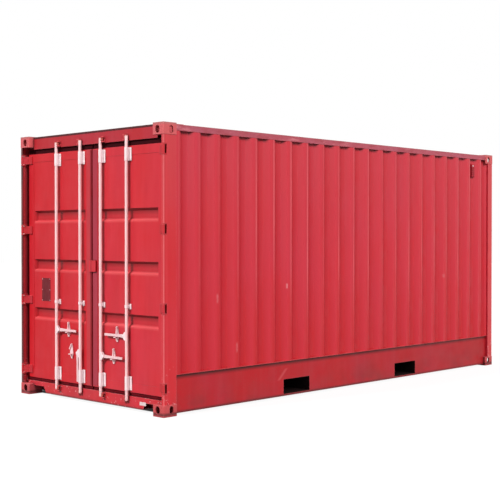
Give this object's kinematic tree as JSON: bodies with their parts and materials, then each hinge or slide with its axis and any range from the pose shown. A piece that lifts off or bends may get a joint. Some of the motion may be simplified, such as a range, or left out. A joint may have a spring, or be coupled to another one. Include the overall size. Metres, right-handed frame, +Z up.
{
  "type": "shipping container",
  "caption": "Ribbed steel box on corner castings with deep base rails, fork pockets and a pair of swinging end doors held by lock rods.",
  "frame": {"origin": "centre of the footprint at the underside of the bottom corner castings", "axes": "+X along the length away from the doors, +Y across to the left door's side seen from outside, +Z up"},
  "size_m": [6.058, 2.438, 2.896],
  "materials": {
    "casting_red": "worn red paint on cast steel",
    "frame_red": "satin red paint",
    "wall_red": "satin red paint, lightly weathered",
    "door_red": "satin red paint",
    "zinc_steel": "pale galvanised steel",
    "rubber_seal": "matt black",
    "plywood": "worn floor plywood",
    "bare_steel": "dark worn steel",
    "dark_paint": "dark base paint",
    "vent_dark": "dark red cover"
  },
  "bodies": {
    "frame": {"corner_castings_bottom": "casting_red", "corner_castings_top": "casting_red", "door_posts": "frame_red", "rear_posts": "frame_red", "door_header": "frame_red", "door_sill": "frame_red", "floor_threshold": "bare_steel", "lock_keepers": "frame_red", "top_side_rails": "frame_red", "bottom_side_rails": "frame_red", "fork_pockets": "bare_steel", "cross_members": "dark_paint", "floor_boards": "plywood", "side_walls": "wall_red", "end_wall": "wall_red", "end_rails": "frame_red", "roof_panel": "wall_red", "roof_corner_plates": "frame_red", "vent_covers": "vent_dark", "hinge_lugs": "frame_red"},
    "door_left": {"door_left_frame": "door_red", "door_left_panel": "door_red", "door_left_gasket": "rubber_seal", "door_left_hinges": "door_red", "door_left_rod_guides": "zinc_steel", "door_left_holders": "zinc_steel", "door_left_seam_block": "door_red"},
    "door_right": {"door_right_frame": "door_red", "door_right_panel": "door_red", "door_right_gasket": "rubber_seal", "door_right_hinges": "door_red", "door_right_rod_guides": "zinc_steel", "door_right_holders": "zinc_steel", "door_right_seam_block": "door_red"},
    "b_lock_rod_1": {"lock_rod_1": "zinc_steel", "rod_fittings_1": "zinc_steel"},
    "b_handle_1": {"handle_1": "zinc_steel"},
    "b_catch_1": {"catch_1": "zinc_steel"},
    "b_lock_rod_2": {"lock_rod_2": "zinc_steel", "rod_fittings_2": "zinc_steel"},
    "b_handle_2": {"handle_2": "zinc_steel"},
    "b_catch_2": {"catch_2": "zinc_steel"},
    "b_lock_rod_3": {"lock_rod_3": "zinc_steel", "rod_fittings_3": "zinc_steel"},
    "b_handle_3": {"handle_3": "zinc_steel"},
    "b_catch_3": {"catch_3": "zinc_steel"},
    "b_lock_rod_4": {"lock_rod_4": "zinc_steel", "rod_fittings_4": "zinc_steel"},
    "b_handle_4": {"handle_4": "zinc_steel"},
    "b_catch_4": {"catch_4": "zinc_steel"}
  },
  "joints": [
    {"name": "door_left_hinge", "type": "hinge", "parent": "frame", "child": "door_left", "pos_m": [-3.015, 1.205, 1.455], "axis": [0, 0, -1], "range_deg": [0, 270]},
    {"name": "door_right_hinge", "type": "hinge", "parent": "frame", "child": "door_right", "pos_m": [-3.015, -1.205, 1.455], "axis": [0, 0, 1], "range_deg": [0, 270]},
    {"name": "lock_rod_1_turn", "type": "hinge", "parent": "door_left", "child": "b_lock_rod_1", "pos_m": [-2.984, 0.6, 1.45], "axis": [0, 0, 1], "range_deg": [-110, 0]},
    {"name": "lock_rod_2_turn", "type": "hinge", "parent": "door_left", "child": "b_lock_rod_2", "pos_m": [-2.984, 0.175, 1.45], "axis": [0, 0, -1], "range_deg": [-110, 0]},
    {"name": "lock_rod_3_turn", "type": "hinge", "parent": "door_right", "child": "b_lock_rod_3", "pos_m": [-2.984, -0.175, 1.45], "axis": [0, 0, 1], "range_deg": [-110, 0]},
    {"name": "lock_rod_4_turn", "type": "hinge", "parent": "door_right", "child": "b_lock_rod_4", "pos_m": [-2.984, -0.6, 1.45], "axis": [0, 0, -1], "range_deg": [-110, 0]},
    {"name": "handle_1_lift", "type": "hinge", "parent": "b_lock_rod_1", "child": "b_handle_1", "pos_m": [-2.984, 0.554, 0.757], "axis": [-1, 0, 0], "range_deg": [0, 10]},
    {"name": "handle_2_lift", "type": "hinge", "parent": "b_lock_rod_2", "child": "b_handle_2", "pos_m": [-2.984, 0.221, 0.525], "axis": [1, 0, 0], "range_deg": [0, 68]},
    {"name": "handle_3_lift", "type": "hinge", "parent": "b_lock_rod_3", "child": "b_handle_3", "pos_m": [-2.984, -0.221, 0.525], "axis": [-1, 0, 0], "range_deg": [0, 10]},
    {"name": "handle_4_lift", "type": "hinge", "parent": "b_lock_rod_4", "child": "b_handle_4", "pos_m": [-2.984, -0.554, 0.757], "axis": [1, 0, 0], "range_deg": [0, 10]},
    {"name": "catch_1_swing", "type": "hinge", "parent": "door_left", "child": "b_catch_1", "pos_m": [-2.9665, 0.415, 0.835], "axis": [1, 0, 0], "range_deg": [0, 65]},
    {"name": "catch_2_swing", "type": "hinge", "parent": "door_left", "child": "b_catch_2", "pos_m": [-2.9665, 0.36, 0.603], "axis": [1, 0, 0], "range_deg": [-35, 30]},
    {"name": "catch_3_swing", "type": "hinge", "parent": "door_right", "child": "b_catch_3", "pos_m": [-2.9665, -0.36, 0.603], "axis": [1, 0, 0], "range_deg": [0, 65]},
    {"name": "catch_4_swing", "type": "hinge", "parent": "door_right", "child": "b_catch_4", "pos_m": [-2.9665, -0.415, 0.835], "axis": [1, 0, 0], "range_deg": [0, 65]}
  ]
}
